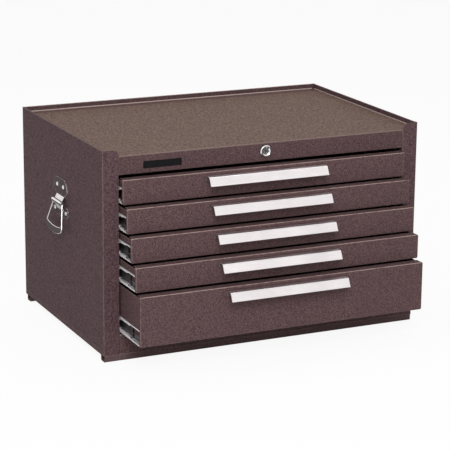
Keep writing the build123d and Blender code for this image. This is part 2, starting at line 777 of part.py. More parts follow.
def left_handle_plate():
    """A pressed plate: a shield-shaped pad, a raised barrel for the bail and a notched foot."""
    pad_z = HANDLE_Z + PAD_RISE
    foot_z = HANDLE_Z - FOOT_DROP
    pad_bottom = HANDLE_Z + PAD_FOOT_RISE
    corners = Pos(0, pad_bottom + HANDLE_SHEET / 2) * Rectangle(2 * BARREL_HALF_L, HANDLE_SHEET)
    for side in (-1, 1):
        corners += Pos(side * PAD_RIVET_SPACING / 2, pad_z) * Circle(PAD_ROUND_R)
        corners += Pos(side * PAD_EAR_SPACING / 2, HANDLE_Z + PAD_EAR_RISE) * Circle(PAD_EAR_R)
    pad = make_hull(corners.edges())
    foot = Pos(0, foot_z) * SlotCenterToCenter(FOOT_RIVET_SPACING, 2 * FOOT_ROUND_R)
    foot -= Pos(0, foot_z - FOOT_NOTCH_DROP) * Circle(FOOT_NOTCH_R)
    plate = on_side(pad, HANDLE_SHEET) + on_side(foot, HANDLE_SHEET)
    axis_x = -HALF_W - BARREL_OUT
    seat_x = -HALF_W - HANDLE_SHEET / 2
    web_line = Polyline((seat_x, pad_bottom), (axis_x, HANDLE_Z), (seat_x, foot_z + HANDLE_SHEET))
    web = Plane.XZ.offset(-BARREL_HALF_L) * trace(web_line, HANDLE_SHEET)
    plate += extrude(web, 2 * BARREL_HALF_L)
    plate += rod_y(BARREL_R, -BARREL_HALF_L, BARREL_HALF_L, axis_x, HANDLE_Z)
    plate -= rod_y(BARREL_BORE_R, -2 * BARREL_HALF_L, 2 * BARREL_HALF_L, axis_x, HANDLE_Z)
    plate -= block(-HALF_W, OPEN_HALF, FRONT, BACK, BASE, RIM_TOP)
    for y, z in handle_rivet_points():
        plate -= rod_x(RIVET_R + HOLE_GAP, -HALF_W - BARREL_OUT, -HALF_W + SHEET, y, z)
    return plate


def left_bail():
    """The swinging bail: a rod in the barrel, flared arms and a broad bowed grip."""
    arm_in = BARREL_HALF_L + BAIL_SIDE_GAP
    arm_out = arm_in + BAIL_ARM_W
    wide = arm_out + BAIL_FLARE
    shoulder = -BAIL_SHOULDER_DROP
    grip_top = BAIL_GRIP_H - BAIL_DROP
    outer_edges = [
        Line((-wide, shoulder), (-arm_out, 0)),
        Line((-arm_out, 0), (arm_out, 0)),
        Line((arm_out, 0), (wide, shoulder)),
        ThreePointArc((wide, shoulder), (0, -BAIL_DROP), (-wide, shoulder)),
    ]
    outer = make_face(outer_edges)
    outer = fillet(outer.vertices().group_by(Axis.Y)[0], BAIL_CORNER_R)
    inner_wide = wide - BAIL_ARM_W
    inner_shoulder = shoulder + BAIL_SHOULDER_H
    inner_edges = [
        Line((-inner_wide, inner_shoulder), (-arm_in, 0)),
        Line((-arm_in, 0), (arm_in, 0)),
        Line((arm_in, 0), (inner_wide, inner_shoulder)),
        ThreePointArc((inner_wide, inner_shoulder), (0, grip_top), (-inner_wide, inner_shoulder)),
    ]
    inner = make_face(inner_edges)
    strap = extrude(outer - inner, BAIL_SHEET / 2, both=True)
    strap = fillet(strap.faces().filter_by(Axis.Z).edges(), BAIL_EDGE_R)
    upright = Plane(origin=(0, 0, 0), x_dir=(0, -1, 0), z_dir=(-1, 0, 0))
    bail = Rot(0, BAIL_LEAN_DEG, 0) * (upright * strap)
    for side in (-1, 1):
        ends = sorted((side * arm_in, side * arm_out))
        bail += rod_y(BAIL_HUB_R, ends[0], ends[1], 0, 0)
    bail += rod_y(BAIL_ROD_R, -arm_out, arm_out, 0, 0)
    return Pos(-HALF_W - BARREL_OUT, 0, HANDLE_Z) * bail


def handle_rivets():
    """Domed rivets through both handle plates and side panels."""
    grip = HANDLE_SHEET + SHEET
    radius = (RIVET_HEAD_R**2 + RIVET_HEAD_H**2) / (2 * RIVET_HEAD_H)
    head = Pos(0, 0, RIVET_HEAD_H - radius) * Sphere(radius)
    head -= Pos(0, 0, -radius) * Box(4 * radius, 4 * radius, 2 * radius)
    rivet = head + Pos(0, 0, -grip / 2) * Cylinder(RIVET_R, grip)
    rivet += Pos(0, 0, -grip - RIVET_TAIL_H / 2) * Cylinder(RIVET_TAIL_R, RIVET_TAIL_H)
    rivets = []
    for y, z in handle_rivet_points():
        placed = Pos(-HALF_W - HANDLE_SHEET, y, z) * Rot(0, -90, 0) * rivet
        rivets += [placed, right_of(placed)]
    return rivets


def main():
    """Build every node and write it."""
    os.makedirs("parts", exist_ok=True)

    side = left_side_panel()
    save("left_side_panel", side)
    save("right_side_panel", right_of(side))
    save("back_panel", back_panel())
    save("top_tray", top_tray())
    save("front_header", front_header())
    save("bottom_pan", bottom_pan())
    save("front_skid", skid(FRONT))
    save("rear_skid", skid(BACK - REAR_SKID_SETBACK - SKID_D))
    posts = [left_post(FRONT_POST_Y), left_post(REAR_POST_Y)]
    save("left_slide_posts", *posts)
    save("right_slide_posts", *[right_of(post) for post in posts])

    for number, bottom in enumerate(front_bottoms(), 1):
        height = FRONT_HEIGHTS[number - 1]
        opening = OPENINGS[number - 1]
        face_y = FRONT - opening
        pull_x = PULL_PLACES[number - 1]
        save(f"drawer_front_{number}", drawer_front(bottom, height, face_y, pull_x))
        save(f"drawer_tray_{number}", drawer_tray(bottom, height, face_y))
        save(f"drawer_pull_{number}", drawer_pull(bottom, height, face_y, pull_x))
        save(f"pull_screws_{number}", *pull_screws(bottom, height, face_y, pull_x))
        save(f"drawer_slides_{number}", *drawer_slides(bottom, opening))
        save(f"middle_slides_{number}", *middle_slides(bottom, opening))
        save(f"cabinet_slides_{number}", *cabinet_slides(bottom))
    save("slide_screws", *slide_screws())

    save("lock_body", lock_body())
    save("lock_nut", lock_nut())
    save("lock_plug", lock_plug())
    save("lock_rod", lock_rod())
    save("lock_rod_hanger", lock_rod_hanger())
    save("lock_bar", lock_bar())
    save("lock_bar_guides", *lock_bar_guides())
    save("blank_plate", blank_plate())

    plate = left_handle_plate()
    bail = left_bail()
    save("left_handle_plate", plate)
    save("right_handle_plate", right_of(plate))
    save("left_bail", bail)
    save("right_bail", right_of(bail))
    save("handle_rivets", *handle_rivets())


main()
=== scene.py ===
"""Dress a steel top tool chest: its finishes, studio light and camera."""

import logging
import math
from dataclasses import dataclass, replace
from enum import Enum
from typing import Any, ClassVar, Mapping, Optional, Union

import bpy
from mathutils import Matrix, Vector


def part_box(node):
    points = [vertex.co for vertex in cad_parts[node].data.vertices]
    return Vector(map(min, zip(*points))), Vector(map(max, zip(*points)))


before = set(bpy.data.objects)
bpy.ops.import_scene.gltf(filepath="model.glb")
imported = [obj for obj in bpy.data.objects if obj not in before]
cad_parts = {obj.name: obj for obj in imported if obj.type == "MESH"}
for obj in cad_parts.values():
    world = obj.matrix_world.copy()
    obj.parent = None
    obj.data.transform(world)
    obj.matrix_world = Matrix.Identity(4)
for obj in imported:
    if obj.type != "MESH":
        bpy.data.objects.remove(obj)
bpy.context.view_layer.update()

DRAWERS = 5
MM = 0.001
IMAGE_SIDE_PX = 450
SENSOR_MM = 36.0
LATTICE_TURN = (0.61, 0.37, 0.83)
WHITE = (1.0, 1.0, 1.0, 1.0)
HEADER_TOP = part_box("front_header")[1].z
TRAY_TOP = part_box("top_tray")[1].z
TRAY_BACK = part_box("top_tray")[1].y
SLIDE_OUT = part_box("drawer_slides_1")[1].x
HEADER_LINE_H = 1.8 * MM
TRAY_LINE_H = 2.4 * MM
TRAY_SHADE_BAND_D = 20.0 * MM
SLIDE_LIP_W = 2.5 * MM

Colour = tuple[float, float, float]
Span = tuple[float, float]
Number = Union[float, "Wire"]

log = logging.getLogger("tool_chest")


class Grain(Enum):
    """How many times a drawn or rolled metal's pattern is drawn out along X, Y and Z."""

    ALONG_X = (50.0, 1.0, 1.0)
    ALONG_Y = (1.0, 50.0, 1.0)
    ALONG_Z = (1.0, 1.0, 50.0)
    ROLLED_Y = (1.0, 1.8, 1.0)


class Side(Enum):
    """A side of the chest, as its nodes' names begin."""

    LEFT = "left"
    RIGHT = "right"


class Wire:
    """A shader socket that takes part in arithmetic, where each operation adds a Math node."""

    def __init__(self, graph: "Graph", socket: bpy.types.NodeSocket) -> None:
        """Keep the socket and the graph that it belongs to.

        Args:
            graph: The graph that new nodes go into.
            socket: The output socket that carries the value.
        """
        self.graph = graph
        self.socket = socket

    def math(self, operation: str, first: Number, second: Number) -> "Wire":
        """Add one Math node.

        Args:
            operation: The node's operation.
            first: Its first input.
            second: Its second input.

        Returns:
            The node's result.
        """
        return self.graph.add("ShaderNodeMath", {"operation": operation}, {0: first, 1: second})

    def __add__(self, other: Number) -> "Wire":
        """This value plus another."""
        return self.math("ADD", self, other)

    def __radd__(self, other: Number) -> "Wire":
        """Another value plus this one."""
        return self.math("ADD", other, self)

    def __sub__(self, other: Number) -> "Wire":
        """This value less another."""
        return self.math("SUBTRACT", self, other)

    def __rsub__(self, other: Number) -> "Wire":
        """Another value less this one."""
        return self.math("SUBTRACT", other, self)

    def __mul__(self, other: Number) -> "Wire":
        """This value times another."""
        return self.math("MULTIPLY", self, other)

    def __rmul__(self, other: Number) -> "Wire":
        """Another value times this one."""
        return self.math("MULTIPLY", other, self)

    def larger(self, other: Number) -> "Wire":
        """The larger of this value and another."""
        return self.math("MAXIMUM", self, other)

    def size(self) -> "Wire":
        """This value without its sign."""
        return self.larger(0.0 - self)

    def between(self, low: float, high: float) -> "Wire":
        """This value spread from low to high over 0 to 1, and held there."""
        inputs = {"Value": self, "From Min": low, "From Max": high}
        return self.graph.add("ShaderNodeMapRange", {"clamp": True}, inputs)


class Graph:
    """A node tree under construction, for a material or for the world."""

    MASK_SAMPLES = 8
    EDGE_SPAN: Span = (0.01, 0.16)
    BEND_SPAN: Span = (0.01, 0.12)
    NOISE_MIDDLE = 0.5
    RIDGE_HALF = 0.14
    RIDGE_SWIRL = 0.5
    HOLLOW_FROM = 0.1
    MIX_FIRST = 6
    MIX_SECOND = 7
    MIX_RESULT = 2

    def __init__(self, tree: bpy.types.NodeTree) -> None:
        """Start from an empty tree.

        Args:
            tree: The node tree to fill.
        """
        self.tree = tree
        self.tree.nodes.clear()

    def add(
        self,
        kind: str,
        settings: Optional[Mapping[str, Any]] = None,
        inputs: Optional[Mapping[Union[int, str], Any]] = None,
        output: Union[int, str] = 0,
    ) -> Wire:
        """Add any node.

        Args:
            kind: The node's type.
            settings: Its own settings, which are set first.
            inputs: A value or a wire for each named or numbered input.
            output: The output that is wanted.

        Returns:
            That output.
        """
        node = self.tree.nodes.new(kind)
        for name, value in (settings or {}).items():
            setattr(node, name, value)
        for key, value in (inputs or {}).items():
            if isinstance(value, Wire):
                self.tree.links.new(value.socket, node.inputs[key])
            else:
                node.inputs[key].default_value = value
        return Wire(self, node.outputs[output])

    def coordinates(self) -> Wire:
        """Places on the object, in metres."""
        return self.add("ShaderNodeTexCoord", output="Object")

    def stretched(self, where: Wire, grain: Grain) -> Wire:
        """Squeeze places along a grain, and turn them off the planes of the chest's sheets.

        Args:
            where: Places on the object.
            grain: How far a pattern on them is drawn out.

        Returns:
            The places to read the pattern at.
        """
        scale = tuple(1.0 / times for times in grain.value)
        inputs = {"Vector": where, "Scale": scale, "Rotation": LATTICE_TURN}
        return self.add("ShaderNodeMapping", {"vector_type": "POINT"}, inputs)

    def noise(
        self, where: Wire, size: float, detail: float = 2.0, distortion: float = 0.0, fineness: float = 0.5
    ) -> Wire:
        """A soft random value.

        Args:
            where: The places that it is read at.
            size: The size of its lumps, in the units of where.
            detail: How many finer octaves it has.
            distortion: How far it is swirled.
            fineness: How strong each finer octave is beside the one before.

        Returns:
            A value about 0.5.
        """
        inputs = {
            "Vector": where,
            "Scale": 1.0 / size,
            "Detail": detail,
            "Distortion": distortion,
            "Roughness": fineness,
        }
        return self.add("ShaderNodeTexNoise", {"noise_dimensions": "3D"}, inputs)

    def mix(self, share: Number, first: Union[Colour, Wire], second: Union[Colour, Wire]) -> Wire:
        """Blend two colours.

        Args:
            share: How much of the second shows.
            first: The colour at 0.
            second: The colour at 1.

        Returns:
            The blend.
        """
        inputs = {0: share}
        for socket, colour in ((self.MIX_FIRST, first), (self.MIX_SECOND, second)):
            inputs[socket] = colour if isinstance(colour, Wire) else (*colour, 1.0)
        return self.add("ShaderNodeMix", {"data_type": "RGBA"}, inputs, output=self.MIX_RESULT)

    def edges(self, radius: float) -> Wire:
        """Find a piece's sharp edges.

        Args:
            radius: How far in from an edge still counts, in metres.

        Returns:
            A value from 0 on a flat to 1 on a corner.
        """
        rounded = self.add("ShaderNodeBevel", {"samples": self.MASK_SAMPLES}, {"Radius": radius})
        plain = self.add("ShaderNodeNewGeometry", output="Normal")
        settings = {"operation": "DOT_PRODUCT"}
        agreement = self.add("ShaderNodeVectorMath", settings, {0: rounded, 1: plain}, output="Value")
        return (1.0 - agreement).between(*self.EDGE_SPAN)

    def part(self, vector: Wire, axis: str) -> Wire:
        """The X, Y or Z of a vector."""
        return self.add("ShaderNodeSeparateXYZ", None, {0: vector}, output=axis)

    def facing(self) -> list[Wire]:
        """The X, Y and Z of the way that the piece's own surface faces."""
        plain = self.add("ShaderNodeTexCoord", output="Normal")
        return [self.part(plain, axis) for axis in "XYZ"]

    def bends(self) -> Wire:
        """How far a point of a squarely folded sheet is round a bend, from 0 on its flats to 1."""
        parts = [part.size() for part in self.facing()]
        return (1.0 - parts[0].larger(parts[1]).larger(parts[2])).between(*self.BEND_SPAN)

    def ridges(self, where: Wire, size: float) -> Wire:
        """A net of narrow crooked ridges, 1 along their crests and 0 between them."""
        swing = self.noise(where, size, detail=1.0, distortion=self.RIDGE_SWIRL) - self.NOISE_MIDDLE
        return 1.0 - swing.size().between(0.0, self.RIDGE_HALF)

    def hollows(self, reach: float, full: float) -> Wire:
        """How far a point lies down in its own piece's hollows.

        Args:
            reach: How far off the piece's other faces still count, in metres.
            full: The closed share of its view at which it counts as wholly down.

        Returns:
            A value from 0 on an open face to 1.
        """
        settings = {"samples": self.MASK_SAMPLES, "only_local": True}
        openness = self.add("ShaderNodeAmbientOcclusion", settings, {"Distance": reach}, output="AO")
        return (1.0 - openness).between(self.HOLLOW_FROM, full)

    def bump(self, height: Wire, strength: float, distance: float) -> Wire:
        """A surface normal raised by a height.

        Args:
            height: The height, from 0 to 1.
            strength: How strongly it shows.
            distance: The real height of 1, in metres.

        Returns:
            The normal.
        """
        inputs = {"Strength": strength, "Distance": distance, "Height": height}
        return self.add("ShaderNodeBump", None, inputs)

    def show(self, shader: Wire, kind: str = "ShaderNodeOutputMaterial") -> None:
        """End the tree in its output.

        Args:
            shader: What shows.
            kind: The output node's type.
        """
        end = self.tree.nodes.new(kind)
        self.tree.links.new(shader.socket, end.inputs["Surface"])

    def surface(self, inputs: Mapping[str, Any]) -> None:
        """End the tree in one Principled shader.

        Args:
            inputs: A value or a wire for each of its inputs.
        """
        self.show(self.add("ShaderNodeBsdfPrincipled", None, inputs))


def new_graph(name: str) -> tuple[bpy.types.Material, Graph]:
    """Make a material with an empty node tree.

    Args:
        name: The material's name.

    Returns:
        The material and its graph.
    """
    material = bpy.data.materials.new(name)
    material.use_nodes = True
    return material, Graph(material.node_tree)


@dataclass(frozen=True)
class Enamel:
    """Stoved wrinkle enamel on sheet steel, flecked and mottled, with painted highlights along edges, bends
    and lips and, where set, a painted shade band.
    """

    FLECK_SPAN: ClassVar[Span] = (0.39, 0.61)
    TINT_SPAN: ClassVar[Span] = (0.42, 0.62)
    MOTTLE_SPAN: ClassVar[Span] = (0.40, 0.60)
    CLOUD_SPAN: ClassVar[Span] = (0.3, 0.7)
    HIGHLIGHT_PATCH_SPAN: ClassVar[Span] = (0.15, 0.55)
    UPPER_SPAN: ClassVar[Span] = (-0.1, 0.5)

    name: str
    ground: Colour
    fleck: Colour
    cast: Colour
    edge_highlight: Colour
    roughness: float = 0.55
    roughness_swing: float = 0.2
    specular: float = 0.06
    fineness: float = 0.7
    fleck_size: float = 2.1 * MM
    fleck_share: float = 0.75
    mottle_size: float = 3.4 * MM
    mottle_share: float = 0.0
    wrinkle_size: float = 3.0 * MM
    wrinkle_share: float = 0.25
    tint_coarseness: float = 1.5
    tint_share: float = 0.4
    cloud_size: float = 70.0 * MM
    cloud_share: float = 0.08
    edge_radius: float = 1.6 * MM
    highlight_patch_size: float = 9.0 * MM
    rub: float = 0.9
    upper_share: float = 0.75
    upright_share: float = 0.25
    lip_from: float = 0.0
    lip_blend: float = 0.5 * MM
    lip_share: float = 0.0
    shade_band_from: float = 0.0
    shade_band_blend: float = 4.0 * MM
    shade_band_share: float = 0.0
    relief: float = 0.25 * MM
    relief_strength: float = 0.35
    relief_wrinkle: float = 0.6

    def highlights(self, graph: Graph, where: Wire) -> Wire:
        """Find where highlights are painted: along edges and bends, most of all facing up, and on lips.

        Args:
            graph: The graph that the nodes go into.
            where: Places on the object.

        Returns:
            How strong the painted highlight is, from 0 to 1.
        """
        # Painted highlight: edges and bends are painted paler, most where they face up towards the top
        # light.
        patches = graph.noise(where, self.highlight_patch_size, detail=3.0).between(*self.HIGHLIGHT_PATCH_SPAN)
        upper = graph.facing()[2].between(*self.UPPER_SPAN) * self.upper_share + self.upright_share
        rub = graph.edges(self.edge_radius).larger(graph.bends()) * patches * upper * self.rub
        # Painted highlight: a thin pale line along the top of the lip.
        if self.lip_share:
            lip = graph.part(where, "Z").between(self.lip_from, self.lip_from + self.lip_blend)
            rub = rub.larger(lip * self.lip_share)
        return rub

    def material(self) -> bpy.types.Material:
        """Make the finish's material.

        Returns:
            The material.
        """
        material, graph = new_graph(self.name)
        where = graph.coordinates()
        rolled = graph.stretched(where, Grain.ROLLED_Y)
        fleck = graph.noise(rolled, self.fleck_size, fineness=self.fineness).between(*self.FLECK_SPAN)
        mottle = graph.noise(rolled, self.mottle_size, detail=3.0, fineness=self.fineness)
        mottle = mottle.between(*self.MOTTLE_SPAN)
        tint = graph.noise(rolled, self.tint_coarseness * self.fleck_size).between(*self.TINT_SPAN)
        wrinkle = graph.ridges(rolled, self.wrinkle_size)
        cloud = graph.noise(where, self.cloud_size, detail=3.0).between(*self.CLOUD_SPAN)
        flecked = fleck * (self.fleck_share - self.mottle_share) + mottle * self.mottle_share
        colour = graph.mix(flecked + wrinkle * self.wrinkle_share, self.ground, self.fleck)
        colour = graph.mix(tint * self.tint_share + cloud * self.cloud_share, colour, self.cast)
        # Painted shade: a band along the back wall is coloured towards the darker cast colour.
        if self.shade_band_share:
            shade_band = graph.part(where, "Y").between(self.shade_band_from, self.shade_band_from + self.shade_band_blend)
            colour = graph.mix(shade_band * self.shade_band_share, colour, self.cast)
        height = wrinkle * self.relief_wrinkle + fleck * (1.0 - self.relief_wrinkle)
        graph.surface({
            "Base Color": graph.mix(self.highlights(graph, where), colour, self.edge_highlight),
            "Roughness": wrinkle * self.roughness_swing + (self.roughness - self.roughness_swing / 2),
            "Specular IOR Level": self.specular,
            "Normal": graph.bump(height, self.relief_strength, self.relief),
        })
        return material


@dataclass(frozen=True)
class DrawnMetal:
    """Metal with fine lines along its length, painted bright on its level faces and outer lip as highlights
    and painted dark in its hollows as shade.
    """

    SHINE_SPAN: ClassVar[Span] = (0.3, 0.7)
    RUN_SPAN: ClassVar[Span] = (0.35, 0.55)
    LEVEL_SPAN: ClassVar[Span] = (0.4, 0.8)

    name: str
    dark: Colour
    bright: Colour
    grain: Grain
    roughness: float
    bright_share: float = 1.0
    line_size: float = 0.4 * MM
    line_share: float = 0.7
    line_dulling: float = 0.16
    line_depth: float = 0.02 * MM
    line_strength: float = 0.15
    cloud_size: float = 60.0 * MM
    cloud_dulling: float = 0.06
    hollow_shade: Colour = (0.03, 0.028, 0.028)
    hollow_shade_reach: float = 6.0 * MM
    hollow_shade_full: float = 0.85
    hollow_shade_share: float = 0.0
    hollow_shade_dulling: float = 0.2
    level_highlight_share: float = 0.0
    lip_from: float = 0.0
    lip_blend: float = 1.0 * MM

    def material(self) -> bpy.types.Material:
        """Make the finish's material.

        Returns:
            The material.
        """
        material, graph = new_graph(self.name)
        where = graph.coordinates()
        lines = graph.noise(graph.stretched(where, self.grain), self.line_size, detail=3.0)
        cloud = graph.noise(where, self.cloud_size).between(*self.SHINE_SPAN)
        shine = lines.between(*self.SHINE_SPAN) * self.line_share + cloud * (1.0 - self.line_share)
        colour = graph.mix(shine * self.bright_share, self.dark, self.bright)
        least = self.roughness - (self.line_dulling + self.cloud_dulling) / 2
        dulled = lines * self.line_dulling + cloud * self.cloud_dulling + least
        metallic: Number = 1.0
        # Painted shade: the piece's own hollows are coloured dark and dulled, as shade falls in them.
        if self.hollow_shade_share:
            shaded = graph.hollows(self.hollow_shade_reach, self.hollow_shade_full) * self.hollow_shade_share
            colour = graph.mix(shaded, colour, self.hollow_shade)
            dulled = dulled + shaded * self.hollow_shade_dulling
        # Painted highlight: level faces and the outer lip are coloured bright and made less metallic.
        if self.level_highlight_share:
            level = graph.facing()[2].size().between(*self.LEVEL_SPAN)
            level_highlight = level * (lines.between(*self.RUN_SPAN) * self.level_highlight_share)
            across = graph.part(where, "X").size()
            run = level_highlight.larger(across.between(self.lip_from, self.lip_from + self.lip_blend))
            colour = graph.mix(run, colour, self.bright)
            metallic = 1.0 - run * self.level_highlight_share
        graph.surface({
            "Base Color": colour,
            "Metallic": metallic,
            "Roughness": dulled,
            "Normal": graph.bump(lines, self.line_strength, self.line_depth),
        })
        return material


@dataclass(frozen=True)
class Plating:
    """Bright plating over pressed steel, smudged at random; where set, with painted highlights on its edges
    and bends and flats painted dark as a reflection of the dark chest.
    """

    SMEAR_SPAN: ClassVar[Span] = (0.35, 0.75)

    name: str
    dull: Colour
    bright: Colour
    roughness: float
    smear_size: float = 14.0 * MM
    smear_swirl: float = 0.6
    smear_share: float = 0.5
    smear_dulling: float = 0.12
    edge_radius: float = 0.8 * MM
    edge_highlight_share: float = 0.0
    bend_highlight_share: float = 0.0
    painted_reflection: float = 0.0
    painted_reflection_dulling: float = 0.6
    specular: float = 0.5
    peel_size: float = 1.6 * MM
    peel_depth: float = 0.05 * MM
    peel_strength: float = 0.04

    def material(self) -> bpy.types.Material:
        """Make the finish's material.

        Returns:
            The material.
        """
        material, graph = new_graph(self.name)
        where = graph.coordinates()
        smear = graph.noise(where, self.smear_size, detail=4.0, distortion=self.smear_swirl)
        smear = smear.between(*self.SMEAR_SPAN)
        peel = graph.noise(where, self.peel_size, detail=1.0)
        shine = (1.0 - smear) * self.smear_share
        # Painted highlight: edges and bends are made bright.
        if self.edge_highlight_share:
            shine = shine.larger(graph.edges(self.edge_radius) * self.edge_highlight_share)
        if self.bend_highlight_share:
            shine = shine.larger(graph.bends() * self.bend_highlight_share)
        # Painted reflection: the flats away from the bright marks lose their metal and show the dark dull
        # colour, standing in for the dark chest they reflect.
        reflection_dulled = (1.0 - shine) * (self.painted_reflection_dulling * self.painted_reflection)
        graph.surface({
            "Base Color": graph.mix(shine, self.dull, self.bright),
            "Metallic": shine.larger(1.0 - self.painted_reflection) if self.painted_reflection else 1.0,
            "Specular IOR Level": self.specular,
            "Roughness": smear * self.smear_dulling + reflection_dulled + self.roughness,
            "Normal": graph.bump(peel, self.peel_strength, self.peel_depth),
        })
        return material


@dataclass(frozen=True)
class Moulding:
    """Black plastic or lacquer with a fine skin and a little dust."""

    DUST_SPAN: ClassVar[Span] = (0.45, 0.8)

    name: str
    ground: Colour
    dust: Colour
    roughness: float
    skin_size: float
    skin_depth: float = 0.05 * MM
    skin_strength: float = 0.1
    dust_size: float = 9.0 * MM
    dust_share: float = 0.3
    dust_dulling: float = 0.2
    specular: float = 0.2

    def material(self) -> bpy.types.Material:
        """Make the finish's material.

        Returns:
            The material.
        """
        material, graph = new_graph(self.name)
        where = graph.coordinates()
        skin = graph.noise(where, self.skin_size)
        dust = graph.noise(where, self.dust_size, detail=5.0).between(*self.DUST_SPAN)
        graph.surface({
            "Base Color": graph.mix(dust * self.dust_share, self.ground, self.dust),
            "Roughness": dust * self.dust_dulling + self.roughness,
            "Specular IOR Level": self.specular,
            "Normal": graph.bump(skin, self.skin_strength, self.skin_depth),
        })
        return material


Finish = Union[Enamel, DrawnMetal, Plating, Moulding]

BROWN = Enamel(
    "brown_wrinkle_enamel",
    ground=(0.036, 0.018, 0.021),
    fleck=(0.176, 0.110, 0.104),
    cast=(0.086, 0.050, 0.066),
    edge_highlight=(0.36, 0.27, 0.24),
    specular=0.03,
)
# Painted shade: a darker copy of the brown for the header, with a painted highlight line along its top edge.
HEADER_SHADED_BROWN = replace(
    BROWN,
    name="header_shaded_wrinkle_enamel",
    fleck=(0.156, 0.097, 0.093),
    cast=(0.072, 0.041, 0.055),
    lip_from=HEADER_TOP - HEADER_LINE_H,
    lip_share=0.35,
)
# Painted shade: a darker, plummier copy of the brown for the sides, which get less light.
SIDE_SHADED_BROWN = Enamel(
    "side_shaded_wrinkle_enamel",
    ground=(0.028, 0.013, 0.018),
    fleck=(0.164, 0.102, 0.101),
    cast=(0.076, 0.043, 0.062),
    edge_highlight=(0.36, 0.27, 0.24),
    specular=0.03,
    mottle_size=3.7 * MM,
    mottle_share=0.52,
    upper_share=0.1,
)
# Painted light: a lighter, yellower copy of the brown for the tray lit from above, with a painted highlight
# line along its lips and painted shade along its back wall.
TRAY_LIT_BROWN = Enamel(
    "tray_lit_wrinkle_enamel",
    ground=(0.056, 0.034, 0.029),
    fleck=(0.242, 0.168, 0.132),
    cast=(0.112, 0.070, 0.070),
    edge_highlight=(0.60, 0.46, 0.43),
    specular=0.01,
    roughness=0.5,
    wrinkle_size=5.0 * MM,
    mottle_size=4.0 * MM,
    mottle_share=0.58,
    lip_from=TRAY_TOP - TRAY_LINE_H,
    lip_share=0.95,
    shade_band_from=TRAY_BACK - TRAY_SHADE_BAND_D,
    shade_band_share=0.85,
)
# Painted light: a lighter copy of the brown for the skids, which stand in shade.
SKID_LIT_BROWN = Enamel(
    "skid_lit_wrinkle_enamel",
    ground=(0.062, 0.037, 0.037),
    fleck=(0.176, 0.114, 0.109),
    cast=(0.096, 0.058, 0.072),
    edge_highlight=(0.30, 0.23, 0.20),
)
# Painted shade: the pull's hollows are coloured drawer brown where shade falls.
PULL_ALUMINIUM = DrawnMetal(
    "satin_aluminium",
    dark=(0.68, 0.64, 0.64),
    bright=(0.81, 0.77, 0.78),
    grain=Grain.ALONG_X,
    roughness=0.38,
    hollow_shade=(0.085, 0.058, 0.056),
    hollow_shade_reach=40.0 * MM,
    hollow_shade_full=0.4,
    hollow_shade_share=0.96,
)
# Painted shade and highlight: slide steel painted dark as it lies in shade, bright on its level flanges and
# outer lip, darkest in its hollows.
SLIDE_ZINC = DrawnMetal(
    "zinc_slide_steel",
    dark=(0.11, 0.095, 0.098),
    bright=(0.90, 0.87, 0.89),
    grain=Grain.ALONG_Y,
    roughness=0.34,
    bright_share=0.22,
    hollow_shade_reach=30.0 * MM,
    hollow_shade_share=1.0,
    level_highlight_share=0.85,
    line_size=1.3 * MM,
    lip_from=SLIDE_OUT - SLIDE_LIP_W,
)
SCREW_ZINC = Plating(
    "zinc_screw_plate", dull=(0.44, 0.44, 0.45), bright=(0.72, 0.72, 0.74), roughness=0.24
)
BAR_ZINC = DrawnMetal(
    "zinc_bar_steel",
    dark=(0.44, 0.44, 0.46),
    bright=(0.64, 0.64, 0.66),
    grain=Grain.ALONG_Z,
    roughness=0.4,
)
ROD_ZINC = DrawnMetal(
    "zinc_rod_steel",
    dark=(0.44, 0.44, 0.46),
    bright=(0.64, 0.64, 0.66),
    grain=Grain.ALONG_Y,
    roughness=0.36,
)
# Painted reflection and highlight: dark brown flats stand for the chest that they reflect; edges and bends
# are painted bright.
BAIL_NICKEL = Plating(
    "bail_nickel",
    dull=(0.048, 0.031, 0.034),
    bright=(0.92, 0.89, 0.87),
    painted_reflection=0.92,
    specular=0.08,
    roughness=0.12,
    edge_radius=1.1 * MM,
    edge_highlight_share=1.0,
    bend_highlight_share=1.0,
    smear_share=0.03,
)
# Painted reflection and highlight: dark brown flats stand for the chest that they reflect; edges and bends
# are painted bright.
PLATE_NICKEL = Plating(
    "handle_plate_nickel",
    dull=(0.052, 0.034, 0.036),
    bright=(0.90, 0.87, 0.85),
    painted_reflection=0.92,
    specular=0.08,
    roughness=0.14,
    smear_size=16.0 * MM,
    edge_highlight_share=0.9,
    bend_highlight_share=0.9,
    smear_share=0.05,
)
RIVET_NICKEL = Plating(
    "rivet_nickel", dull=(0.60, 0.59, 0.58), bright=(0.90, 0.89, 0.88), roughness=0.1
)
# Painted reflection and highlight: the chrome is painted near black as dark reflections, with bright edges
# and bends.
LOCK_CHROME = Plating(
    "lock_chrome",
    dull=(0.07, 0.065, 0.065),
    bright=(0.90, 0.90, 0.90),
    roughness=0.08,
    edge_radius=0.5 * MM,
    edge_highlight_share=0.8,
    bend_highlight_share=0.85,
    smear_share=0.1,
)
# Painted reflection and highlight: flats painted near black as dark reflections, edges painted bright.
PLUG_CHROME = Plating(
    "plug_chrome",
    dull=(0.03, 0.026, 0.027),
    bright=(0.86, 0.84, 0.82),
    painted_reflection=0.8,
    specular=0.1,
    roughness=0.16,
    edge_radius=0.7 * MM,
    edge_highlight_share=1.0,
    smear_share=0.04,
)
GUIDE_BLACK = Moulding(
    "guide_plastic",
    ground=(0.022, 0.022, 0.023),
    dust=(0.10, 0.09, 0.08),
    roughness=0.5,
    skin_size=0.7 * MM,
)
PLATE_BLACK = Moulding(
    "plate_lacquer",
    ground=(0.007, 0.007, 0.008),
    dust=(0.022, 0.020, 0.020),
    roughness=0.35,
    skin_size=1.4 * MM,
    specular=0.05,
)


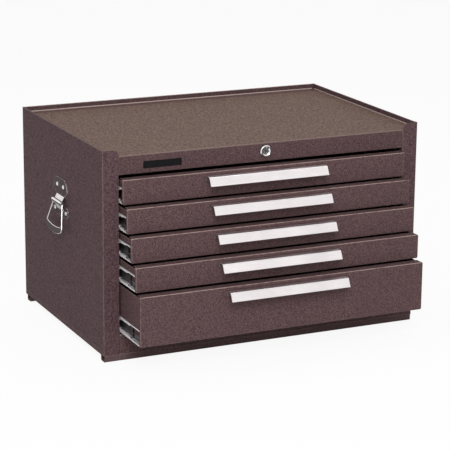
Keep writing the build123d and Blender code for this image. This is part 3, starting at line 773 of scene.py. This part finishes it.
class PaintShop:
    """Makes each finish once and puts it on the pieces."""

    def __init__(self) -> None:
        """Start with no finish made."""
        self.made: dict[str, bpy.types.Material] = {}

    def coat(self, piece: bpy.types.Object, finish: Finish) -> None:
        """Give a piece its finish.

        Args:
            piece: The piece.
            finish: What it is finished in.
        """
        if finish.name not in self.made:
            self.made[finish.name] = finish.material()
        if not piece.material_slots:
            piece.data.materials.append(None)
        for place in piece.material_slots:
            place.material = self.made[finish.name]
        log.info("%s is finished in %s", piece.name, finish.name)

    def coat_nodes(self, finish: Finish, *nodes: str) -> None:
        """Give several CAD nodes one finish.

        Args:
            finish: What they are finished in.
            nodes: Their names.
        """
        for node in nodes:
            self.coat(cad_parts[node], finish)


@dataclass
class Cabinet:
    """The folded shell, its tray, skids, slide posts and blank plate."""

    sides: tuple[str, ...] = ("left_side_panel", "right_side_panel")
    panels: tuple[str, ...] = ("back_panel", "bottom_pan", "left_slide_posts", "right_slide_posts")
    skids: tuple[str, ...] = ("front_skid", "rear_skid")

    def dress(self, shop: PaintShop) -> None:
        """Finish the shell's nodes.

        Args:
            shop: Where they are painted and plated.
        """
        shop.coat_nodes(SIDE_SHADED_BROWN, *self.sides)
        shop.coat_nodes(BROWN, *self.panels)
        shop.coat_nodes(HEADER_SHADED_BROWN, "front_header")
        shop.coat_nodes(TRAY_LIT_BROWN, "top_tray")
        shop.coat_nodes(SKID_LIT_BROWN, *self.skids)
        shop.coat_nodes(PLATE_BLACK, "blank_plate")
        shop.coat_nodes(SCREW_ZINC, "slide_screws")


@dataclass
class Drawer:
    """One drawer: its front, tray, pull and slides."""

    number: int

    def node(self, name: str) -> str:
        """The name of one of this drawer's nodes."""
        return f"{name}_{self.number}"

    def dress(self, shop: PaintShop) -> None:
        """Finish the drawer's nodes.

        Args:
            shop: Where they are painted and plated.
        """
        shop.coat_nodes(BROWN, self.node("drawer_front"), self.node("drawer_tray"))
        shop.coat_nodes(PULL_ALUMINIUM, self.node("drawer_pull"))
        shop.coat_nodes(SCREW_ZINC, self.node("pull_screws"))
        slides = ("drawer_slides", "middle_slides", "cabinet_slides")
        shop.coat_nodes(SLIDE_ZINC, *(self.node(name) for name in slides))


@dataclass
class Lock:
    """The lock in the header and the rod and bar that it works."""

    def dress(self, shop: PaintShop) -> None:
        """Finish the lock's nodes.

        Args:
            shop: Where they are painted and plated.
        """
        shop.coat_nodes(LOCK_CHROME, "lock_body")
        shop.coat_nodes(PLUG_CHROME, "lock_plug")
        shop.coat_nodes(SCREW_ZINC, "lock_nut")
        shop.coat_nodes(ROD_ZINC, "lock_rod")
        shop.coat_nodes(BAR_ZINC, "lock_bar", "lock_rod_hanger")
        shop.coat_nodes(GUIDE_BLACK, "lock_bar_guides")


@dataclass
class SideHandle:
    """A swinging bail in its riveted plate."""

    side: Side

    def dress(self, shop: PaintShop) -> None:
        """Finish the handle's nodes.

        Args:
            shop: Where they are painted and plated.
        """
        shop.coat_nodes(PLATE_NICKEL, f"{self.side.value}_handle_plate")
        shop.coat_nodes(BAIL_NICKEL, f"{self.side.value}_bail")


@dataclass(frozen=True)
class Lamp:
    """One soft box of the studio."""

    name: str
    place: tuple[float, float, float]
    aim: tuple[float, float, float]
    width: float
    height: float
    power: float

    def build(self) -> None:
        """Make the lamp and turn it to what it lights."""
        data = bpy.data.lights.new(self.name, "AREA")
        data.shape = "RECTANGLE"
        data.size = self.width
        data.size_y = self.height
        data.energy = self.power
        lamp = bpy.data.objects.new(self.name, data)
        bpy.context.scene.collection.objects.link(lamp)
        lamp.location = self.place
        towards = Vector(self.aim) - Vector(self.place)
        lamp.rotation_euler = towards.to_track_quat("-Z", "Y").to_euler()
        log.info("%s lights the chest at %g W", self.name, self.power)


KEY_BOX = Lamp(
    "key_box", place=(-1.1, -2.7, 2.37), aim=(0.0, -0.1, 0.22), width=1.6, height=1.6, power=70.0
)
LOW_FILL = Lamp(
    "low_fill", place=(0.5, -3.2, 0.4), aim=(0.0, -0.3, 0.05), width=1.8, height=0.5, power=5.0
)
TOP_BOX = Lamp(
    "top_box", place=(0.2, 0.9, 2.9), aim=(0.0, 0.0, 0.3), width=2.6, height=1.8, power=25.0
)


@dataclass
class Studio:
    """A pale floor, a white surround and soft boxes."""

    floor_half: float = 14.0
    floor_colour: Colour = (0.86, 0.86, 0.86)
    floor_white_share: float = 0.92
    ambient: float = 0.48
    lamps: tuple[Lamp, ...] = (KEY_BOX, LOW_FILL, TOP_BOX)

    @staticmethod
    def seen_straight(graph: Graph) -> Wire:
        """Tell what is looked at from soft light.

        Args:
            graph: The graph that the nodes go into.

        Returns:
            1 for what the camera, a reflection or a clear piece shows, and 0 for soft light.
        """
        straight = graph.add("ShaderNodeLightPath", output="Is Camera Ray")
        for kind in ("Glossy", "Transmission"):
            straight = straight.larger(graph.add("ShaderNodeLightPath", output=f"Is {kind} Ray"))
        return straight

    def build(self) -> None:
        """Make the floor, the surround and the lamps."""
        self.build_floor()
        self.build_surround()
        for lamp in self.lamps:
            lamp.build()

    def build_floor(self) -> None:
        """Lay the floor that the skids stand on."""
        bpy.ops.mesh.primitive_plane_add(size=2 * self.floor_half, location=(0.0, 0.0, 0.0))
        floor = bpy.context.active_object
        floor.name = "studio_floor"
        material, graph = new_graph("pale_floor")
        seen = self.seen_straight(graph)
        lit = graph.add("ShaderNodeBsdfDiffuse", None, {"Color": (*self.floor_colour, 1.0)})
        white = graph.add("ShaderNodeEmission", None, {"Color": WHITE, "Strength": 1.0})
        share = seen * self.floor_white_share
        graph.show(graph.add("ShaderNodeMixShader", None, {0: share, 1: lit, 2: white}))
        floor.data.materials.append(material)

    def build_surround(self) -> None:
        """Light the room evenly, and show it white."""
        world = bpy.data.worlds.new("studio_surround")
        world.use_nodes = True
        graph = Graph(world.node_tree)
        strength = self.seen_straight(graph) * (1.0 - self.ambient) + self.ambient
        light = graph.add("ShaderNodeBackground", None, {"Color": WHITE, "Strength": strength})
        graph.show(light, "ShaderNodeOutputWorld")
        bpy.context.scene.world = world


@dataclass
class PhotoCamera:
    """A camera at the photograph's angle."""

    azimuth_deg: float = -25.1
    elevation_deg: float = 15.07
    roll_deg: float = 0.51
    distance: float = 3.9722
    target: tuple[float, float, float] = (0.0201, 0.0, 0.183)
    focal_px: float = 1886.95
    clip_end: float = 100.0

    def build(self) -> None:
        """Make the camera and place it."""
        azimuth = math.radians(self.azimuth_deg)
        elevation = math.radians(self.elevation_deg)
        flat = math.cos(elevation)
        back = Vector((math.sin(azimuth) * flat, -math.cos(azimuth) * flat, math.sin(elevation)))
        right = (-back).cross(Vector((0.0, 0.0, 1.0))).normalized()
        up = right.cross(-back)
        turn = Matrix.Rotation(math.radians(self.roll_deg), 3, back)
        axes = Matrix((turn @ right, turn @ up, back)).transposed()
        data = bpy.data.cameras.new("photo_camera")
        data.sensor_width = SENSOR_MM
        data.lens = SENSOR_MM * self.focal_px / IMAGE_SIDE_PX
        data.clip_end = self.clip_end
        camera = bpy.data.objects.new("photo_camera", data)
        bpy.context.scene.collection.objects.link(camera)
        place = Vector(self.target) + back * self.distance
        camera.matrix_world = Matrix.Translation(place) @ axes.to_4x4()
        bpy.context.scene.camera = camera


def main() -> None:
    """Build the chest's looks, the studio and the camera."""
    logging.basicConfig(level=logging.INFO, format="%(message)s")
    bpy.ops.object.select_all(action="DESELECT")
    shop = PaintShop()
    Cabinet().dress(shop)
    for number in range(1, DRAWERS + 1):
        Drawer(number).dress(shop)
    Lock().dress(shop)
    for side in Side:
        SideHandle(side).dress(shop)
    shop.coat_nodes(RIVET_NICKEL, "handle_rivets")
    Studio().build()
    PhotoCamera().build()
    bpy.context.scene.view_settings.view_transform = "Standard"


if __name__ == "__main__":
    main()
